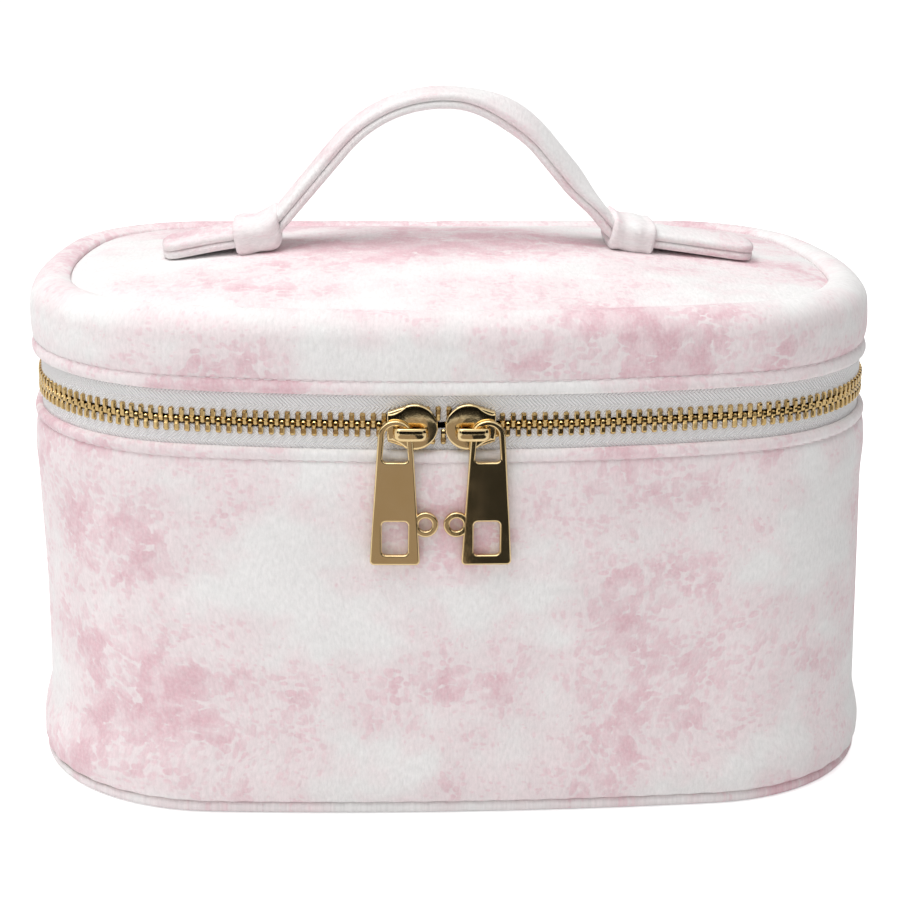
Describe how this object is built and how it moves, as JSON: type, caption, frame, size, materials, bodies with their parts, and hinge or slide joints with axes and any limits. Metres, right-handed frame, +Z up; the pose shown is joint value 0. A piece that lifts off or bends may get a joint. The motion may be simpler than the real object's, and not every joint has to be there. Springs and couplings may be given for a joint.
{
  "type": "makeup train case",
  "caption": "Soft-sided vanity case in printed velvet with a domed lid on a fabric hinge, a two-slider metal zip and a folding strap handle.",
  "frame": {"origin": "middle of the underside, on the table", "axes": "+X to the right of someone facing the front, -Y out of the front, +Z up"},
  "size_m": [0.2184, 0.1329, 0.1717],
  "materials": {
    "printed_velvet": "white velvet with a soft pink print",
    "lining_cloth": "plain satin lining",
    "zip_tape_weave": "twill zip tape",
    "gold_plate": "polished light gold plating",
    "stiff_board": "plain board",
    "foam_pad": "open-cell foam"
  },
  "bodies": {
    "case": {"body_wall": "printed_velvet", "base_panel": "printed_velvet", "body_facing": "printed_velvet", "hinge_panel": "printed_velvet", "base_lining": "lining_cloth", "wall_lining": "lining_cloth", "hinge_lining": "lining_cloth", "lower_zip_tape": "zip_tape_weave", "body_binding": "zip_tape_weave", "lower_zip_teeth": "gold_plate", "lower_zip_stops": "gold_plate", "base_board": "stiff_board", "wall_foam": "foam_pad"},
    "lid": {"lid_band": "printed_velvet", "lid_rim_padding": "foam_pad", "lid_top_panel": "printed_velvet", "lid_foam": "foam_pad", "lid_board": "stiff_board", "lid_band_foam": "foam_pad", "lid_top_lining": "lining_cloth", "lid_band_lining": "lining_cloth", "lid_facing": "printed_velvet", "lid_binding": "zip_tape_weave", "upper_zip_tape": "zip_tape_weave", "upper_zip_teeth": "gold_plate", "upper_zip_stops": "gold_plate", "left_keeper": "printed_velvet", "right_keeper": "printed_velvet", "left_strap_end": "printed_velvet", "right_strap_end": "printed_velvet"},
    "handle": {"handle_top_strip": "printed_velvet", "handle_under_strip": "printed_velvet"},
    "left_slider": {"left_slider_body": "gold_plate", "left_slider_bridge": "gold_plate"},
    "right_slider": {"right_slider_body": "gold_plate", "right_slider_bridge": "gold_plate"},
    "left_pull": {"left_pull": "gold_plate"},
    "right_pull": {"right_pull": "gold_plate"}
  },
  "joints": [
    {"name": "lid_hinge", "type": "hinge", "parent": "case", "child": "lid", "pos_m": [0, 0.06225, 0.1005], "axis": [-1, 0, 0], "range_deg": [0, 115], "deforming": ["hinge_panel", "hinge_lining", "lower_zip_teeth", "upper_zip_teeth"]},
    {"name": "handle_fold", "type": "hinge", "parent": "lid", "child": "handle", "pos_m": [-0.0026, 0, 0.14242], "axis": [1, 0, 0], "range_deg": [-60, 60], "stiffness_Nm_per_rad": 0.05},
    {"name": "left_slider_travel", "type": "hinge", "parent": "case", "child": "left_slider", "pos_m": [0, 0.25775, 0.1005], "axis": [0, 0, -1], "range_deg": [0, 8.8], "deforming": ["lower_zip_teeth", "upper_zip_teeth"]},
    {"name": "right_slider_travel", "type": "hinge", "parent": "case", "child": "right_slider", "pos_m": [0, 0.25775, 0.1005], "axis": [0, 0, 1], "range_deg": [0, 11], "deforming": ["lower_zip_teeth", "upper_zip_teeth"]},
    {"name": "left_pull_swing", "type": "hinge", "parent": "left_slider", "child": "left_pull", "pos_m": [-0.01719, -0.06552, 0.0995], "axis": [0.0406, 0.9992, 0], "range_deg": [0, 100]},
    {"name": "right_pull_swing", "type": "hinge", "parent": "right_slider", "child": "right_pull", "pos_m": [0.00466, -0.06594, 0.0995], "axis": [0.0019, -1, 0], "range_deg": [0, 100]}
  ]
}
